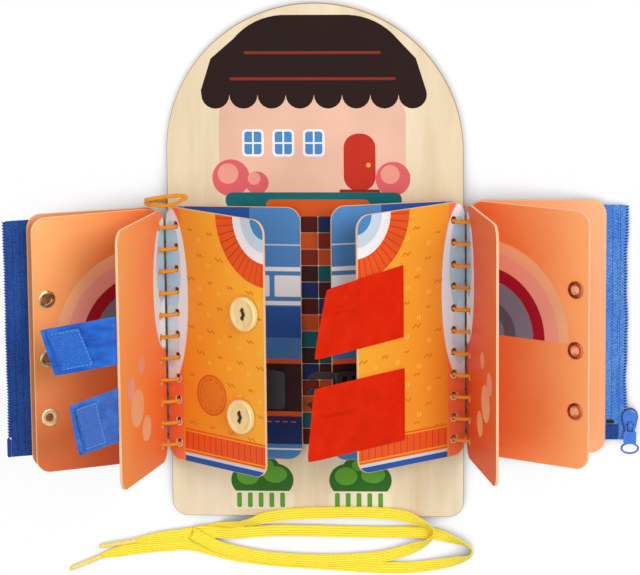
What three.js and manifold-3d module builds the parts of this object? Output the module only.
// A lacing and fastening quiet book: an arched wooden board with five bound leaves on each long side.
// Millimetres, +Z up. The board lies on its back, its arch towards +Y, and the leaves stand open.
import * as THREE from 'three';
import { mergeVertices } from 'three/addons/utils/BufferGeometryUtils.js';
import Module from 'manifold-3d';

const wasm = await Module();
wasm.setup();

// Driving dimensions
const boardWidth = 205;
const boardHeight = 362;
const boardThickness = 4;
const boardCorner = 11;
const leafWidth = 94.4;
const leafHeight = 179;
const leafThickness = 1.8;
const leafCorner = 10;
const leafGap = 0.55; // between two leaves of the closed stack
const leafFoot = 45; // from the board's bottom edge up to the leaves
const cordDiameter = 2.6;
const holeDiameter = 5.4;
const holePitch = 15.4;
const holeCount = 11;
const seatGap = 0.3; // between pieces that rest on each other
const overrun = 2; // how far a cut runs past its piece
const mergeDistance = 0.0001; // below which two corners are one
const cordFlatShare = 0.1; // of the cord's diameter, worn flat where the board stands on it
const slackHeight = 5.9; // of the fold line above the board's face
const slackReach = 2.8; // of the fold line beyond the board's edge
const leafMargin = 1.1; // from the fold line to a leaf's inner edge, so that leaves can pass back to back
const ringSteps = 20; // degrees of a cord loop between two sections
const holeSeatShare = 0.22; // of a leaf hole's radius, from its middle to where the cord runs
const cordSides = 6;

// Opening of each leaf from the leaf below it, in degrees, innermost first
const openings = { left: [4, 36, 63, 50, 6], right: [16, 25, 62, 46, 32] };
// The left row of holes sits a little lower than the right one, and each leaf lies where the play of
// its holes on the cord lets it: heights against an even layout
const rowShift = { left: -2.3, right: 1.9 };
const leafShift = { left: [-2, -1.5, -3.1, -3.1, -2.5], right: [2.1, 2.2, 1.1, 2.7, 2.1] };

const cordRadius = cordDiameter / 2;
const holeRadius = holeDiameter / 2;
const leafPitch = leafThickness + leafGap;
const ringRadius = slackHeight + boardThickness + seatGap + cordRadius;
const foldHeight = cordRadius - cordFlatShare * cordDiameter + ringRadius;
const boardTop = foldHeight - slackHeight;
const boardBottom = boardTop - boardThickness;
const foldX = boardWidth / 2 + slackReach;
const leafEnd = leafMargin + leafWidth;
const leafTop = leafFoot + leafHeight;
const boardHoleReach = Math.sqrt(ringRadius ** 2 - slackHeight ** 2);
const leafHoleReach = ringRadius - holeRadius * holeSeatShare;
const firstHole = leafTop - (leafHeight - holePitch * (holeCount - 1)) / 2;
const holeHeights = Array.from({ length: holeCount }, (_, i) => firstHole - i * holePitch);

const colours = {
  ply: 0xecd0a0, leaf: 0xf4844a, cord: 0xf59a1e, felt: 0xe32c0c, satin: 0x1f6fe0, hook: 0x1b62cf,
  tape: 0x2f62d8, teeth: 0x2748b8, plastic: 0x2f7fe8, buckle: 0x15161c, webbing: 0x2a1d1b,
  brass: 0xb98a55, wood: 0xf3dfae, lace: 0xffdf1f, tip: 0xf2cf2a,
};
const finish = (name, roughness, metalness = 0) =>
  new THREE.MeshStandardMaterial({ name, color: colours[name], roughness, metalness });
const finishes = {
  ply: finish('ply', 0.6), leaf: finish('leaf', 0.35), cord: finish('cord', 0.7),
  felt: finish('felt', 0.95), satin: finish('satin', 0.55), hook: finish('hook', 0.9),
  tape: finish('tape', 0.8), teeth: finish('teeth', 0.4), plastic: finish('plastic', 0.35),
  buckle: finish('buckle', 0.4), webbing: finish('webbing', 0.85), brass: finish('brass', 0.3, 1),
  wood: finish('wood', 0.5), lace: finish('lace', 0.9), tip: finish('tip', 0.3),
};

const book = new THREE.Group();
const shifted = new THREE.Group();
book.add(shifted);

// Points of an arc from one angle to another, in radians, both ends included
function arc(x, y, radius, from, to, steps) {
  return Array.from({ length: steps + 1 }, (_, i) => {
    const a = from + ((to - from) * i) / steps;
    return new THREE.Vector2(x + radius * Math.cos(a), y + radius * Math.sin(a));
  });
}

// A rectangle with round corners, anticlockwise
function roundedBox(x0, y0, x1, y1, radius, steps = 5) {
  const q = Math.PI / 2;
  return [
    ...arc(x1 - radius, y1 - radius, radius, 0, q, steps),
    ...arc(x0 + radius, y1 - radius, radius, q, 2 * q, steps),
    ...arc(x0 + radius, y0 + radius, radius, 2 * q, 3 * q, steps),
    ...arc(x1 - radius, y0 + radius, radius, 3 * q, 4 * q, steps),
  ];
}

const circle = (x, y, radius, sides) => arc(x, y, radius, 0, 2 * Math.PI, sides).slice(0, sides);

// A flat plate: its outline, its holes, its lower face and its thickness
function plate(outline, holes, bottom, thickness) {
  const ordered = (points, clockwise) =>
    (THREE.ShapeUtils.isClockWise(points) === clockwise ? points : points.slice().reverse());
  const shape = new THREE.Shape(ordered(outline, false));
  shape.holes = holes.map((points) => new THREE.Path(ordered(points, true)));
  const geometry = new THREE.ExtrudeGeometry(shape, { depth: thickness, bevelEnabled: false });
  return geometry.translate(0, 0, bottom);
}

// One closed surface with shared corners, its faces pointing out
function closed(geometry) {
  const bare = new THREE.BufferGeometry();
  bare.setAttribute('position', geometry.getAttribute('position').clone());
  if (geometry.index) bare.setIndex(geometry.index.clone());
  const merged = mergeVertices(bare, mergeDistance);
  const at = merged.getAttribute('position');
  const index = Array.from(merged.index.array);
  const [a, b, c] = [new THREE.Vector3(), new THREE.Vector3(), new THREE.Vector3()];
  const faces = [];
  let volume = 0;
  for (let i = 0; i < index.length; i += 3) {
    const [p, q, r] = index.slice(i, i + 3);
    if (p === q || q === r || r === p) continue;
    faces.push([p, q, r]);
    const normal = b.fromBufferAttribute(at, q).cross(c.fromBufferAttribute(at, r));
    volume += a.fromBufferAttribute(at, p).dot(normal);
  }
  merged.setIndex((volume < 0 ? faces.map(([p, q, r]) => [p, r, q]) : faces).flat());
  return merged;
}

function toSolid(geometry) {
  const merged = closed(geometry);
  return new wasm.Manifold(new wasm.Mesh({
    numProp: 3,
    vertProperties: new Float32Array(merged.getAttribute('position').array),
    triVerts: new Uint32Array(merged.index.array),
  }));
}

function toGeometry(solid) {
  const mesh = solid.getMesh();
  const geometry = new THREE.BufferGeometry();
  geometry.setAttribute('position', new THREE.BufferAttribute(new Float32Array(mesh.vertProperties), 3));
  geometry.setIndex(new THREE.BufferAttribute(new Uint32Array(mesh.triVerts), 1));
  return geometry;
}

function add(parent, name, geometry, material) {
  const mesh = new THREE.Mesh(closed(geometry), material);
  mesh.name = name;
  parent.add(mesh);
  return mesh;
}

// A round or flat tube along points with closed ends. Its section is carried without twist, or laid
// across its line as acrossAt says.
function tube(points, section, acrossAt) {
  const sides = section.length;
  const vertices = [];
  let across = null;
  points.forEach((point, i) => {
    const before = points[Math.max(i - 1, 0)];
    const after = points[Math.min(i + 1, points.length - 1)];
    const along = after.clone().sub(before).normalize();
    across = acrossAt ? acrossAt(i, along) : (across ?? new THREE.Vector3(0, 1, 0)).clone();
    across.addScaledVector(along, -across.dot(along)).normalize();
    const out = new THREE.Vector3().crossVectors(along, across);
    section.forEach(([u, v]) => {
      vertices.push(point.clone().addScaledVector(across, u).addScaledVector(out, v));
    });
  });
  const index = [];
  for (let i = 0; i < points.length - 1; i++) {
    for (let j = 0; j < sides; j++) {
      const [p, q] = [i * sides + j, i * sides + ((j + 1) % sides)];
      index.push(p, p + sides, q, q, p + sides, q + sides);
    }
  }
  const last = (points.length - 1) * sides;
  for (let j = 1; j < sides - 1; j++) {
    index.push(0, j, j + 1);
    index.push(last, last + j + 1, last + j);
  }
  const geometry = new THREE.BufferGeometry().setFromPoints(vertices);
  geometry.setIndex(index);
  return geometry;
}

// A body of revolution about local Z from a closed profile of (radius, height) pairs
function turned(profile, sides) {
  const points = profile.map(([r, z]) => new THREE.Vector2(r, z));
  return new THREE.LatheGeometry([...points, points[0].clone()], sides).rotateX(Math.PI / 2);
}

// The board: straight sides, small lower corners, a half-round top and a row of holes on each side
const boardHoleX = foldX - boardHoleReach;
const archSteps = 36;
const holeSides = 8;
{
  const [half, quarter] = [boardWidth / 2, Math.PI / 2];
  const outline = [
    ...arc(0, boardHeight - half, half, 0, Math.PI, archSteps),
    ...arc(-half + boardCorner, boardCorner, boardCorner, 2 * quarter, 3 * quarter, 5),
    ...arc(half - boardCorner, boardCorner, boardCorner, 3 * quarter, 4 * quarter, 5),
  ];
  const holes = [[-boardHoleX, rowShift.left], [boardHoleX, rowShift.right]].flatMap(([x, shift]) =>
    holeHeights.map((y) => circle(x, y + shift, holeRadius, holeSides)));
  add(shifted, 'back_board', plate(outline, holes, boardBottom, boardThickness), finishes.ply);
}

// The binding cord of one side, in its own loop frame: s towards the board's middle, y up the board, z
// from the fold line. Each loop is a circle about the fold line that leaves it under the board, runs
// on to the next hole and comes up through it.
const loopKnot = {
  rise: 2.8, // of the turn before the first hole above the leaves' top edges
  outerTip: -10.4, innerTip: 17.8, // across the fold line
  lowLeg: 6.5, highLeg: 9.5, // above the leaves' top edges
  sink: 5.5, // of the cord's end below the loop's crown
  joinAngle: 75, joinSteps: 10, // where on the circle the loop runs into its first turn
};
// The tied loop's places: a share of its tip, of the way from the low leg to the high one, of the sink
const outerShares = [
  [0, 0, 1], [0.5, 0, 0.98], [0.9, 0, 0.71], [1, 0, 0.38], [0.9, 0.1, 0.055], [0.4, 0.5, 0],
];
const innerShares = [
  [0.4, 1, 0], [0.85, 1.1, 0.055], [1, 0.75, 0.055], [0.8, 0, 0.055], [0.5, -0.95, 0.055],
];
// The run under the board: shares of the hole's reach and of the way to the next hole
const runShares = [[0.32, 0.416], [0.72, 0.86]];
const firstRunShares = [[0.5, 0.65], [0.72, 0.86]];
const headShares = [0.2, 0.5]; // of the hole's reach and of the pitch, where the untied cord starts
const tailShares = [[0.35, 0.25], [0.55, 0.55]]; // the same, where either cord ends
const bendShare = 1.4; // of the cord's radius, the bend from the run into the hole
const bendCornerShare = 0.3; // of the bend, how far its corner is cut
function loopPath(dir, knotted) {
  const radians = Math.PI / 180;
  const start = -Math.asin(slackHeight / ringRadius);
  const end = (3 * Math.PI) / 2;
  const steps = Math.round((end - start) / (ringSteps * radians));
  const bend = cordRadius * bendShare;
  const cut = bend * bendCornerShare;
  const at = (s, y, z) => new THREE.Vector3(dir * s, y, z);
  const points = [];
  const turn = (y, from, count) => {
    for (let i = 0; i <= count; i++) {
      const a = from + ((end - from) * i) / count;
      points.push(at(ringRadius * Math.cos(a), y, ringRadius * Math.sin(a)));
    }
  };
  if (knotted) {
    const { rise, outerTip, innerTip, lowLeg, highLeg, sink, joinAngle, joinSteps } = loopKnot;
    const low = leafTop + lowLeg;
    for (const [tip, shares] of [[outerTip, outerShares], [innerTip, innerShares]]) {
      points.push(...shares.map(([across, up, down]) =>
        at(tip * across, low + (highLeg - lowLeg) * up, ringRadius - sink * down)));
    }
    turn(leafTop + rise, joinAngle * radians, joinSteps);
  } else {
    points.push(at(boardHoleReach * headShares[0], firstHole + holePitch * headShares[1], -ringRadius));
  }
  holeHeights.forEach((y, i) => {
    const before = i === 0 ? y + holePitch * headShares[1] : y + holePitch;
    const from = i === 0 && knotted ? leafTop + loopKnot.rise : before;
    for (const [reach, way] of i === 0 && !knotted ? firstRunShares : runShares) {
      points.push(at(boardHoleReach * reach, from + (y - from) * way, -ringRadius));
    }
    points.push(at(boardHoleReach - cut, y, -ringRadius + cut), at(boardHoleReach, y, -ringRadius + bend));
    turn(y, start, steps);
  });
  const last = holeHeights[holeCount - 1];
  for (const [reach, way] of tailShares) {
    points.push(at(boardHoleReach * reach, last - holePitch * way, -ringRadius));
  }
  return points;
}

// The least distance between the walls of two stretches of a wound tube, away from each other along it
function leastGap(points, radius, apart) {
  let least = Infinity;
  for (let i = 0; i < points.length; i++) {
    let run = 0;
    for (let j = i + 1; j < points.length; j++) {
      run += points[j].distanceTo(points[j - 1]);
      if (run > apart) least = Math.min(least, points[i].distanceTo(points[j]) - 2 * radius);
    }
  }
  return least;
}

const floorReach = boardHeight; // half the side of the block that cuts the cords flat
for (const [side, dir] of [['left', 1], ['right', -1]]) {
  const path = loopPath(dir, side === 'left');
  path.forEach((p) => p.add(new THREE.Vector3(-dir * foldX, rowShift[side], foldHeight)));
  const gap = leastGap(path, cordRadius, 5 * cordRadius);
  console.log(`binding cord ${side}: least gap to itself ${gap.toFixed(2)} mm`);
  const section = Array.from({ length: cordSides }, (_, i) => {
    const a = (2 * Math.PI * (i + 0.5)) / cordSides;
    return [cordRadius * Math.cos(a), cordRadius * Math.sin(a)];
  });
  const ground = toSolid(new THREE.BoxGeometry(2 * floorReach, 2 * floorReach, 2 * floorReach)
    .translate(0, 0, -floorReach));
  const cord = toSolid(tube(path, section)).subtract(ground);
  add(shifted, `binding_cord_${side}`, toGeometry(cord), finishes.cord);
}

// The leaves of one side hang in nested groups on the fold line, so each turns with the one below it.
// In a leaf's frame x runs along dir to its free edge, y up the board and z out of its front face.
const names = ['buckle', 'button', 'strap', 'eyelet', 'zip'];
const eyelets = {
  inset: 10, // from the leaf's free edge
  heights: { left: [122, 80.5, 39], right: [124.7, 82.7, 40.2] },
  bore: 2.75, barrel: 3.1, flange: 5.75, crown: 0.85, lip: 0.35,
};
const eyeletReach = leafEnd - eyelets.inset;
const leaves = {};
for (const [side, dir] of [['left', 1], ['right', -1]]) {
  let parent = new THREE.Group();
  parent.position.set(-dir * foldX, 0, foldHeight);
  shifted.add(parent);
  names.forEach((name, order) => {
    const turn = new THREE.Group();
    turn.rotation.y = (-dir * openings[side][order] * Math.PI) / 180;
    turn.position.y = leafShift[side][order] - (order > 0 ? leafShift[side][order - 1] : 0);
    parent.add(turn);
    parent = turn;
    const middle = (order - (names.length - 1) / 2) * leafPitch;
    const ends = [dir * leafMargin, dir * leafEnd].sort((a, b) => a - b);
    const outline = roundedBox(ends[0], leafFoot, ends[1], leafTop, leafCorner);
    const holes = holeHeights.map((y) => circle(dir * leafHoleReach, y, holeRadius, holeSides));
    if (name === 'eyelet') {
      holes.push(...eyelets.heights[side].map((y) =>
        circle(dir * eyeletReach, leafFoot + y, eyelets.barrel + seatGap, 14)));
    }
    add(turn, `leaf_${name}_${side}`, plate(outline, holes, middle - leafThickness / 2, leafThickness),
      finishes.leaf);
    leaves[`${name}_${side}`] = { turn, dir, side, middle, face: middle + leafThickness / 2 };
  });
}

// Brass eyelets: a barrel through the leaf with a rolled flange on each face
for (const side of ['left', 'right']) {
  const { turn, dir, middle } = leaves[`eyelet_${side}`];
  const seat = leafThickness / 2 + seatGap;
  const top = leafThickness / 2 + eyelets.crown;
  const { bore, barrel, flange, lip } = eyelets;
  const roll = (flange + barrel) / 2;
  const profile = [
    [bore, -top + lip], [barrel, -top], [roll, -top], [flange, -seat - lip / 3], [flange - lip, -seat],
    [barrel, -seat], [barrel, seat], [flange - lip, seat], [flange, seat + lip / 3], [roll, top],
    [barrel, top], [bore, top - lip],
  ];
  eyelets.heights[side].forEach((y, i) => {
    const mesh = add(turn, `eyelet_${side}_${i + 1}`, turned(profile, 14), finishes.brass);
    mesh.position.set(dir * eyeletReach, leafFoot + y, middle);
  });
}

// Wooden buttons: a dished disc with a raised rim and two thread holes
const button = {
  places: { upper: [78.5, 113.3], lower: [74.3, 41] }, // from the fold line, above the leaf's foot
  radius: 12, thickness: 4.2, dish: 1.1, rim: 2.4, edge: 1.2, hole: 1.5, holeSpread: 3.2,
};
{
  const { turn, dir, face } = leaves.button_left;
  const b = button;
  const profile = [
    [0, 0], [b.radius - b.edge, 0], [b.radius, b.edge], [b.radius, b.thickness - b.edge],
    [b.radius - b.edge, b.thickness], [b.radius - b.rim, b.thickness - b.edge / 4],
    [b.radius - b.rim - b.edge, b.thickness - b.dish], [0, b.thickness - b.dish],
  ];
  for (const [place, [reach, y]] of Object.entries(b.places)) {
    let disc = toSolid(turned(profile, 24));
    for (const sign of [-1, 1]) {
      const drill = new THREE.CylinderGeometry(b.hole, b.hole, b.thickness + 2 * overrun, 10)
        .rotateX(Math.PI / 2).translate(0, sign * b.holeSpread, b.thickness / 2);
      disc = disc.subtract(toSolid(drill));
    }
    const mesh = add(turn, `button_${place}`, toGeometry(disc), finishes.wood);
    mesh.position.set(dir * reach, leafFoot + y, face + seatGap);
  }
}

// A flap of cloth: its sewn end lies on the leaf, its free end hinges at the leaf's free edge.
// Corners are given from the fold line and from the leaf's top edge.
const clothGap = 0.3; // between the sewn end and the flap at the fold
function flapPlaces(flap) {
  const fold = leafEnd + clothGap;
  const share = (fold - flap.root) / (flap.tipLow - flap.root);
  const shareTop = (fold - flap.root) / (flap.tipHigh - flap.root);
  return {
    fold,
    foldHigh: leafTop - flap.rootHigh - (flap.endHigh - flap.rootHigh) * shareTop,
    foldLow: leafTop - flap.rootLow - (flap.endLow - flap.rootLow) * share,
  };
}

function sewnEnd(leaf, flap, name, material) {
  const { dir, face, turn } = leaf;
  const { fold, foldHigh, foldLow } = flapPlaces(flap);
  const edge = fold - clothGap;
  const outline = [
    new THREE.Vector2(dir * flap.root, leafTop - flap.rootLow), new THREE.Vector2(dir * edge, foldLow),
    new THREE.Vector2(dir * edge, foldHigh), new THREE.Vector2(dir * flap.root, leafTop - flap.rootHigh),
  ];
  add(turn, name, plate(outline, [], face + seatGap, flap.thickness), material);
}

// The flap's own group turns about its fold; its outline may be cut by a slit
function freeFlap(leaf, flap, name, material, slit) {
  const { dir, face, turn } = leaf;
  const { fold, foldHigh, foldLow } = flapPlaces(flap);
  const hinge = new THREE.Group();
  hinge.position.set(dir * fold, 0, face + seatGap + flap.thickness + clothGap / 2);
  hinge.rotation.y = (-dir * flap.lift * Math.PI) / 180;
  turn.add(hinge);
  const corner = flap.corner;
  const high = new THREE.Vector2(flap.tipHigh - fold, leafTop - flap.endHigh);
  const low = new THREE.Vector2(flap.tipLow - fold, leafTop - flap.endLow);
  const startHigh = new THREE.Vector2(0, foldHigh);
  const startLow = new THREE.Vector2(0, foldLow);
  // each free corner is cut by two chords, a corner's length from its tip
  const cut = (tip, from, to) => {
    const p = tip.clone().add(from.clone().sub(tip).setLength(corner));
    const q = tip.clone().add(to.clone().sub(tip).setLength(corner));
    const m = p.clone().add(q).multiplyScalar(0.25).addScaledVector(tip, 0.5);
    return [p, m, q];
  };
  const outline = [startHigh, ...cut(high, startHigh, low), ...cut(low, high, startLow), startLow]
    .map((p) => new THREE.Vector2(dir * p.x, p.y));
  const holes = slit
    ? [roundedBox(...[dir * (slit.from - fold), dir * (slit.to - fold)].sort((a, b) => a - b)
      .flatMap((x, i) => [x, leafTop - slit.drop + (i - 0.5) * slit.width]), slit.width * 0.45, 2)]
    : [];
  const lift = -clothGap / 2 - flap.thickness;
  add(hinge, name, plate(outline, holes, lift, flap.thickness), material);
  return hinge;
}

// Felt buttonhole tabs on the right button leaf
const tabs = {
  upper: {
    root: 56.7, rootHigh: 38, rootLow: 88, tipHigh: 122.8, endHigh: 46.4, tipLow: 133.6, endLow: 93.5,
    lift: 0, thickness: 1.8, corner: 4,
  },
  lower: {
    root: 56, rootHigh: 109.8, rootLow: 160.2, tipHigh: 133.8, endHigh: 113.1, tipLow: 140, endLow: 163.2,
    lift: 0, thickness: 1.8, corner: 4,
  },
};
const slits = {
  upper: { from: 99, to: 124, drop: 63, width: 1.2 }, lower: { from: 102, to: 127, drop: 133, width: 1.2 },
};
for (const place of ['upper', 'lower']) {
  sewnEnd(leaves.button_right, tabs[place], `tab_seam_${place}`, finishes.felt);
  freeFlap(leaves.button_right, tabs[place], `tab_flap_${place}`, finishes.felt, slits[place]);
}

// Satin straps on the left strap leaf, each with a patch of hooks near its end
const straps = {
  upper: {
    root: 76, rootHigh: 54.7, rootLow: 87.6, tipHigh: 145.3, endHigh: 64.7, tipLow: 136, endLow: 96.4,
    lift: 66, thickness: 1.4, corner: 2,
  },
  lower: {
    root: 76, rootHigh: 106, rootLow: 143.5, tipHigh: 145.3, endHigh: 109, tipLow: 136, endLow: 145,
    lift: 19, thickness: 1.4, corner: 2,
  },
};
const patch = { thickness: 0.9, inset: 3, length: 22, corner: 2 };
for (const place of ['upper', 'lower']) {
  const flap = straps[place];
  const leaf = leaves.strap_left;
  sewnEnd(leaf, flap, `strap_seam_${place}`, finishes.satin);
  const hinge = freeFlap(leaf, flap, `strap_flap_${place}`, finishes.satin);
  const fold = flapPlaces(flap).fold;
  // the patch keeps an even distance from the strap's edges
  const along = (reach, tip, from, to, inwards) => {
    const share = (reach - flap.root) / (tip - flap.root);
    return new THREE.Vector2(reach - fold, leafTop - from - (to - from) * share + inwards);
  };
  const low = (reach) => along(reach, flap.tipLow, flap.rootLow, flap.endLow, patch.inset);
  const high = (reach) => along(reach, flap.tipHigh, flap.rootHigh, flap.endHigh, -patch.inset);
  const [lowTip, highTip] = [flap.tipLow - patch.inset, flap.tipHigh - patch.inset];
  const outline = [low(lowTip - patch.length), low(lowTip), high(highTip), high(highTip - patch.length)];
  const under = -clothGap / 2 - flap.thickness - seatGap - patch.thickness;
  add(hinge, `hook_patch_${place}`, plate(outline, [], under, patch.thickness), finishes.hook);
}

// Loop patches on the right strap leaf, where the straps' hooks hold
const loopPatch = { reach: 62, length: 26, width: 30, drops: { upper: 72, lower: 126 } };
for (const [place, drop] of Object.entries(loopPatch.drops)) {
  const { turn, dir, face } = leaves.strap_right;
  const ends = [dir * (loopPatch.reach), dir * (loopPatch.reach + loopPatch.length)].sort((a, b) => a - b);
  const outline = roundedBox(ends[0], leafTop - drop - loopPatch.width / 2, ends[1],
    leafTop - drop + loopPatch.width / 2, patch.corner, 2);
  add(turn, `loop_patch_${place}`, plate(outline, [], face + seatGap, patch.thickness), finishes.satin);
}

// The zip: a tape sewn on the front of each zip leaf, with a row of teeth on its outer edge
const zip = {
  lap: 7, tapeThickness: 0.9, tapeReach: { left: 14.2, right: 13.2 }, drop: 4, length: 166,
  teeth: 2.2, teethThickness: 2.4, toothPitch: 3.32, toothShare: 0.45, overlap: 0.3,
  railShare: 0.45, bevelShare: 0.15,
};
const foot = { width: 6.2, left: 13, right: 7, wall: 1.5, pin: 2.6 }; // height on each side
for (const side of ['left', 'right']) {
  const { turn, dir, face } = leaves[`zip_${side}`];
  const edge = leafEnd + zip.tapeReach[side];
  const ends = [dir * (leafEnd - zip.lap), dir * edge].sort((a, b) => a - b);
  const top = leafTop - zip.drop;
  const tape = plate(roundedBox(ends[0], top - zip.length, ends[1], top, zip.teeth / 2, 2), [],
    face + seatGap, zip.tapeThickness);
  add(turn, `zip_tape_${side}`, tape, finishes.tape);
  // the teeth are one comb: a rail along the tape's edge with a tooth at each pitch
  const count = Math.floor((zip.length - foot[side] - seatGap) / zip.toothPitch);
  const inner = edge + zip.overlap;
  const rail = inner + zip.teeth * zip.railShare;
  const outline = [];
  for (let i = 0; i < count; i++) {
    const y = top - i * zip.toothPitch;
    const tooth = zip.toothPitch * zip.toothShare;
    const bevel = tooth * zip.bevelShare;
    outline.push([rail, y], [inner + zip.teeth, y - bevel],
      [inner + zip.teeth, y - tooth], [rail, y - tooth - bevel]);
  }
  const end = top - count * zip.toothPitch;
  outline.push([rail, end], [inner, end], [inner, top]);
  const middle = face + seatGap + zip.tapeThickness / 2;
  add(turn, `zip_teeth_${side}`, plate(outline.map(([s, y]) => new THREE.Vector2(dir * s, y)), [],
    middle - zip.teethThickness / 2, zip.teethThickness), finishes.teeth);
}

// The zip's foot: a retaining box on the right tape and the pin that enters it on the left tape
{
  const lowest = leafTop - zip.drop - zip.length;
  for (const [side, name] of [['right', 'zip_box'], ['left', 'zip_pin']]) {
    const { turn, dir, face } = leaves[`zip_${side}`];
    const inner = leafEnd + zip.tapeReach[side] + zip.overlap;
    const width = side === 'right' ? foot.width : foot.pin;
    const ends = [dir * inner, dir * (inner + width)].sort((a, b) => a - b);
    const middle = face + seatGap + zip.tapeThickness / 2;
    const thick = zip.teethThickness + (side === 'right' ? foot.wall : 0);
    const outline = roundedBox(ends[0], lowest, ends[1], lowest + foot[side], foot.wall / 2, 2);
    add(turn, name, plate(outline, [], middle - thick / 2, thick), finishes.plastic);
  }
}

// The slider: two shields joined by a bridge, open round the teeth. A lug with a cross opening stands
// on its back shield, and the bar at the pull's head turns in that opening.
const slider = {
  width: 11.6, length: 14.5, shield: 1.5, flareShare: 0.72, bridge: 2.2, clearance: 0.4,
  rise: 15, // of its middle above the tape's lower end
};
const lug = { width: 3, halfLength: 3.2, halfOpening: 1.4, axis: 1.5, halfHeight: 1.2, bar: 1.2, foot: 0.8 };
const pull = {
  thickness: 1.3, bar: 1.3, headWidth: 6.4, headLength: 2.6, bandWidth: 9, bandEnd: 12, shoulder: 1,
  eyeClearance: 0.5, ringWidth: 12.9, ringLength: 8.6, ringWall: 1.4, lap: 0.8,
};
{
  const { turn, dir, face } = leaves.zip_right;
  const teethEdge = leafEnd + zip.tapeReach.right + zip.overlap + zip.teeth;
  const middle = face + seatGap + zip.tapeThickness / 2;
  const hollow = zip.teethThickness / 2 + slider.clearance;
  const half = slider.width / 2;
  const end = slider.length / 2;
  const back = hollow + slider.shield;
  const shieldOutline = [
    ...arc(0, end - half, half, 0, Math.PI, 10),
    new THREE.Vector2(-half * slider.flareShare, -end), new THREE.Vector2(half * slider.flareShare, -end),
  ];
  const channel = new THREE.BoxGeometry(half, slider.length + 2 * overrun, 2 * hollow);
  const channelX = slider.bridge / 2 + half / 2;
  // the lug's side view: along the slider, and up from the back shield
  const hingeY = -end + lug.foot + lug.halfLength - lug.halfOpening;
  const lugTop = lug.axis + lug.halfHeight + lug.bar;
  const lugView = [
    [-lug.halfLength, -slider.shield / 2], [lug.halfLength, -slider.shield / 2],
    [lug.halfLength, lugTop - lug.bar], [lug.halfOpening, lugTop], [-lug.halfOpening, lugTop],
    [-lug.halfLength, lugTop - lug.bar],
  ].map(([y, z]) => new THREE.Vector2(y, z));
  const lugPlate = plate(lugView, [], -lug.width / 2, lug.width);
  const opening = new THREE.BoxGeometry(2 * lug.halfOpening, 2 * lug.halfHeight, lug.width + 2 * overrun)
    .translate(0, lug.axis, 0);
  const toBack = new THREE.Matrix4().makeBasis(
    new THREE.Vector3(0, 1, 0), new THREE.Vector3(0, 0, -1), new THREE.Vector3(-1, 0, 0));
  toBack.setPosition(0, hingeY, -back);
  let body = toSolid(plate(shieldOutline, [], -back, 2 * back));
  for (const sign of [-1, 1]) {
    body = body.subtract(toSolid(channel.clone().translate(sign * channelX, 0, 0)));
  }
  body = body.add(toSolid(lugPlate.applyMatrix4(toBack))).subtract(toSolid(opening.applyMatrix4(toBack)));
  const centre = teethEdge + slider.clearance + slider.bridge / 2;
  const height = leafTop - zip.drop - zip.length + slider.rise;
  const mesh = add(turn, 'zip_slider', toGeometry(body), finishes.plastic);
  mesh.position.set(dir * centre, height, middle);
  // the pull hangs from its bar: a head with an eye round the lug, a band and an open ring
  const [head, band, shoulder] = [pull.headWidth / 2, pull.bandWidth / 2, pull.shoulder];
  const view = [
    [head, pull.bar / 2], [-head, pull.bar / 2], [-head, -pull.headLength],
    [-band, -pull.headLength - shoulder], [-band, -pull.bandEnd], [band, -pull.bandEnd],
    [band, -pull.headLength - shoulder], [head, -pull.headLength],
  ].map(([x, y]) => new THREE.Vector2(x, y));
  const eyeWidth = lug.width + 2 * pull.eyeClearance;
  const eyeLength = lug.halfLength + pull.eyeClearance - pull.bar / 2;
  const eye = new THREE.BoxGeometry(eyeWidth, eyeLength, pull.thickness + 2 * overrun)
    .translate(0, -pull.bar / 2 - eyeLength / 2, 0);
  const oval = (width, length, steps) => circle(0, 0, width / 2, steps)
    .map((v) => new THREE.Vector2(v.x, (v.y * length) / width));
  const wall = 2 * pull.ringWall;
  const ring = plate(oval(pull.ringWidth, pull.ringLength, 16), [
    oval(pull.ringWidth - wall, pull.ringLength - wall, 12)], -pull.thickness / 2, pull.thickness)
    .translate(0, -pull.bandEnd + pull.lap - pull.ringLength / 2, 0);
  const shape = toSolid(plate(view, [], -pull.thickness / 2, pull.thickness)).subtract(toSolid(eye))
    .add(toSolid(ring));
  const swing = new THREE.Group();
  swing.position.set(dir * centre, height + hingeY, middle - back - lug.axis);
  turn.add(swing);
  add(swing, 'zip_pull', toGeometry(shape), finishes.plastic);
}

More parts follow.
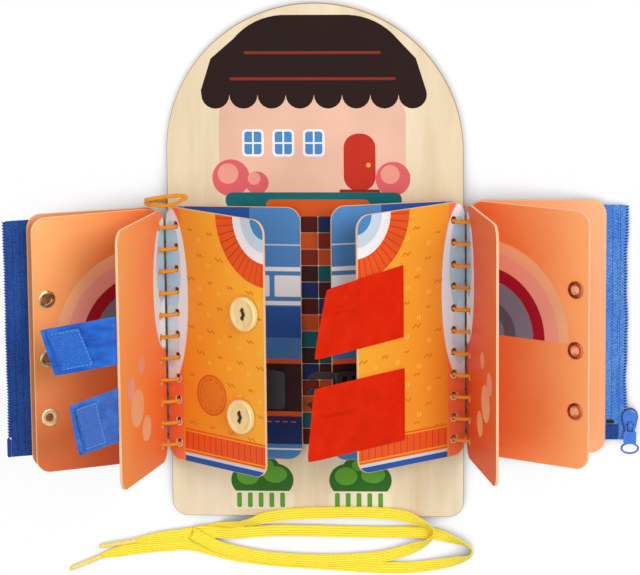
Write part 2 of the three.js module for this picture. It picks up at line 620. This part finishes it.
// The side-release buckle: a socket on the left buckle leaf, a plug with three prongs on the right one
const buckle = {
  drop: 128, wall: 1.4, corner: 3, bar: 3, slot: 3.4, hook: 2.2, guideWidth: 5,
  socketFrom: 62, socketLength: 22.3, socketWidth: 27, socketThickness: 6.2,
  mouthWidth: 22, mouthDepth: 15, mouthHeight: 3.2, windowShare: 0.6, windowPlaceShare: 0.55,
  plugFrom: 76.4, plugLength: 17.6, plugWidth: 26, plugThickness: 5.2,
  prongReach: 20, prongWidth: 4, prongThickness: 2.8,
};
const webbing = { width: 23, thickness: 1.2, from: { left: 30, right: 40 }, corner: 1 };
{
  const b = buckle;
  const y = leafTop - b.drop;
  const halfSocket = b.socketWidth / 2;
  // the socket, its mouth towards the free edge and a webbing bar at its back
  const left = leaves.buckle_left;
  const lift = seatGap;
  const hingeHeight = webbing.thickness + seatGap / 2;
  let socket = toSolid(plate(roundedBox(0, -halfSocket, b.socketLength, halfSocket, b.corner, 3), [],
    0, b.socketThickness));
  const mouth = new THREE.BoxGeometry(b.mouthDepth + overrun, b.mouthWidth, b.mouthHeight)
    .translate(b.socketLength - b.mouthDepth / 2 + overrun / 2, 0, b.socketThickness / 2);
  const through = b.socketThickness + 2 * overrun;
  const strapSlot = new THREE.BoxGeometry(b.slot, webbing.width + 2 * seatGap, through)
    .translate(b.bar + b.slot / 2 - b.wall / 2, 0, b.socketThickness / 2);
  const windowLength = b.mouthDepth * b.windowShare;
  const window = new THREE.BoxGeometry(windowLength, b.socketWidth + 2 * overrun, b.mouthHeight)
    .translate(b.socketLength - b.mouthDepth * b.windowPlaceShare, 0, b.socketThickness / 2);
  socket = socket.subtract(toSolid(mouth)).subtract(toSolid(strapSlot)).subtract(toSolid(window));
  const socketHinge = new THREE.Group();
  socketHinge.position.set(left.dir * (b.socketFrom - seatGap / 2), y, left.face + lift + hingeHeight);
  left.turn.add(socketHinge);
  add(socketHinge, 'buckle_socket', toGeometry(socket.translate(seatGap / 2, 0, -hingeHeight)),
    finishes.buckle);
  // the plug, mirrored on the other side: a body with two bars, two sprung prongs and a guide
  const right = leaves.buckle_right;
  const half = b.plugWidth / 2;
  const inner = b.plugLength;
  const root = inner - b.corner / 2;
  const tip = inner + b.prongReach;
  const prong = (sign) => [
    [root, sign * (half - b.wall)], [inner + b.corner, sign * half],
    [inner + b.prongReach * 0.45, sign * (half + b.hook * 0.2)],
    [inner + b.prongReach * 0.7, sign * (half + b.hook * 0.5)], [tip - b.hook, sign * (half - b.hook * 0.6)],
    [tip, sign * (half - b.prongWidth * 0.8)], [tip - b.hook, sign * (half - b.prongWidth * 1.3)],
    [inner + b.prongReach * 0.45, sign * (half - b.prongWidth)],
    [root, sign * (half - b.wall - b.prongWidth)],
  ];
  const mirrored = (points) => points.map(([s, h]) => new THREE.Vector2(right.dir * s, h));
  const guide = [
    [root, -b.guideWidth / 2], [tip - b.hook, -b.guideWidth / 2], [tip, -b.guideWidth / 4],
    [tip, b.guideWidth / 4], [tip - b.hook, b.guideWidth / 2], [root, b.guideWidth / 2],
  ];
  const bodyPoints = roundedBox(0, -half, inner, half, b.corner / 2, 3).map((v) => [v.x, v.y]);
  const low = (b.plugThickness - b.prongThickness) / 2;
  let plug = toSolid(plate(mirrored(bodyPoints), [], 0, b.plugThickness));
  for (const from of [b.bar, 2 * b.bar + b.slot]) {
    const slot = new THREE.BoxGeometry(b.slot, b.plugWidth - 2 * b.bar, b.plugThickness + 2 * overrun)
      .translate(right.dir * (from + b.slot / 2), 0, b.plugThickness / 2);
    plug = plug.subtract(toSolid(slot));
  }
  for (const points of [prong(1), prong(-1), guide]) {
    plug = plug.add(toSolid(plate(mirrored(points), [], low, b.prongThickness)));
  }
  const plugHinge = new THREE.Group();
  plugHinge.position.set(right.dir * (b.plugFrom - seatGap / 2), y, right.face + lift + hingeHeight);
  right.turn.add(plugHinge);
  add(plugHinge, 'buckle_plug', toGeometry(plug.translate(right.dir * seatGap / 2, 0, -hingeHeight)),
    finishes.buckle);
  // each half hangs on a band of webbing sewn flat on its leaf
  for (const [leaf, end] of [[left, b.socketFrom - seatGap], [right, b.plugFrom - seatGap]]) {
    const ends = [leaf.dir * webbing.from[leaf.side], leaf.dir * end].sort((p, q) => p - q);
    const wide = webbing.width / 2;
    const outline = roundedBox(ends[0], y - wide, ends[1], y + wide, webbing.corner, 2);
    add(leaf.turn, `belt_webbing_${leaf.side}`, plate(outline, [], leaf.face + seatGap, webbing.thickness),
      finishes.webbing);
  }
}

// The lace: one flat braid laid in two narrow loops below the board and over its lower edge, a tip at
// each end. Its route lists places on the table in millimetres, each with the lean of the braid about
// its own line in degrees: it turns over where it doubles back at the right and is creased at the left.
const lace = { width: 8.5, thickness: 1.2, longStep: 21.5, tipRadius: 1.7, tipSides: 8 };
const laceRoute = [
  [-156.4, -32.3, 1.2, 0], [-147.4, -29.9, 0.8, 0], [-134.4, -27.0, 0.7, 0], [-120.1, -25.0, 0.7, 0],
  [-107.3, -23.7, 0.7, 0], [-93.0, -23.2, 0.7, 0], [-82.4, -25.0, 0.7, 0], [-72.4, -27.8, 0.7, 0],
  [-59.7, -30.7, 0.7, 0], [-45.5, -32.8, 0.7, 0], [-24.2, -34.8, 0.7, 0], [-2.9, -36.1, 0.7, 0],
  [18.3, -37.4, 0.7, 0], [39.6, -38.7, 0.7, 0], [60.8, -38.8, 0.9, 3], [82.0, -36.2, 1.8, 14],
  [97.6, -32.7, 3.2, 35], [106.8, -28.9, 4.3, 72], [108.2, -24.3, 4.5, 96], [101.9, -20.0, 4.2, 120],
  [91.3, -16.2, 2.8, 152], [83.0, -14.2, 1.0, 178], [68.0, -12.9, 0.7, 180], [46.8, -13.0, 0.7, 180],
  [22.1, -12.8, 0.7, 180], [-6.2, -12.3, 0.7, 180], [-34.6, -12.5, 0.7, 180], [-48.0, -13.4, 1.1, 178],
  [-56.0, -14.1, 1.9, 170], [-62.0, -14.2, 2.8, 165], [-70.0, -13.6, 3.2, 170], [-79.0, -12.9, 2.7, 178],
  [-88.4, -13.6, 2.5, 180], [-88.6, -14.0, 4.1, 0], [-80.0, -19.0, 3.9, 0], [-71.0, -23.9, 2.6, 0],
  [-56.0, -28.0, 2.3, 0], [-38.2, -31.2, 2.3, 0], [-13.4, -33.0, 2.3, 0], [11.4, -33.3, 2.3, 0],
  [29.1, -32.1, 2.3, 0], [44.0, -30.5, 2.5, 2], [58.8, -26.4, 3.2, 8], [70.2, -21.7, 4.7, 30],
  [78.2, -16.9, 6.3, 66], [81.2, -11.4, 6.6, 92], [78.5, -7.4, 7.4, 118], [70.5, -3.0, 8.7, 148],
  [62.0, 0.6, 8.5, 170], [50.0, 2.4, 8.1, 178], [33.1, 3.1, 8.0, 180], [12.0, 3.0, 8.0, 180],
  [-9.2, 2.3, 8.0, 180], [-26.8, 0.8, 8.0, 180], [-38.0, -1.2, 8.2, 170], [-46.0, -4.2, 7.4, 140],
  [-54.0, -6.6, 4.7, 130], [-62.0, -8.8, 2.7, 155], [-70.0, -10.6, 0.9, 178], [-78.0, -12.2, 0.7, 180],
  [-88.0, -14.2, 0.8, 180], [-94.0, -15.1, 1.8, 180], [-99.0, -15.8, 2.4, 180], [-106.0, -16.7, 2.4, 180],
  [-119.8, -18.6, 2.4, 180], [-131.7, -20.2, 2.6, 180],
];
const tipEnds = {
  front: [new THREE.Vector3(-157.4, -33.0, 1.8), new THREE.Vector3(-177.5, -41.6, 1.8)],
  back: [new THREE.Vector3(-132.9, -20.3, 2.9), new THREE.Vector3(-156.2, -24.6, 2.1)],
};
{
  const places = laceRoute.map(([x, y, z]) => new THREE.Vector3(x, y, z));
  const curve = new THREE.CatmullRomCurve3(places, false, 'centripetal');
  const points = [];
  const leans = [];
  places.forEach((place, i) => {
    points.push(place);
    leans.push(laceRoute[i][3]);
    const next = places[i + 1];
    if (!next || place.distanceTo(next) < lace.longStep) return;
    points.push(curve.getPoint((i + 0.5) / (places.length - 1)));
    leans.push((laceRoute[i][3] + laceRoute[i + 1][3]) / 2);
  });
  const acrossAt = (i, along) => {
    const level = new THREE.Vector3(-along.y, along.x, 0).normalize();
    const lean = (leans[i] * Math.PI) / 180;
    return level.applyAxisAngle(along, lean);
  };
  const [w, t] = [lace.width / 2, lace.thickness / 2];
  const section = [[w, t / 2], [w * 0.9, t], [-w * 0.9, t], [-w, t / 2], [-w, -t / 2], [-w * 0.9, -t],
    [w * 0.9, -t], [w, -t / 2]];
  console.log(`lace length ${curve.getLength().toFixed(0)} mm in ${points.length - 1} steps`);
  add(shifted, 'lace', tube(points, section, acrossAt), finishes.lace);
  const round = Array.from({ length: lace.tipSides }, (_, i) => {
    const a = (2 * Math.PI * i) / lace.tipSides;
    return [lace.tipRadius * Math.cos(a), lace.tipRadius * Math.sin(a)];
  });
  for (const [end, [from, to]] of Object.entries(tipEnds)) {
    const start = places[end === 'front' ? 0 : places.length - 1];
    const gap = from.clone().sub(start).setLength(seatGap);
    const first = start.clone().add(gap);
    first.z = from.z;
    add(shifted, `lace_tip_${end}`, tube([first, to], round), finishes.tip);
  }
}

// The origin is below the middle of everything but the lace
shifted.updateMatrixWorld(true);
const box = new THREE.Box3();
shifted.traverse((o) => {
  if (o.isMesh && !o.name.startsWith('lace')) box.expandByObject(o, true);
});
const middle = box.getCenter(new THREE.Vector3());
shifted.position.set(-middle.x, -middle.y, 0);

export default book;
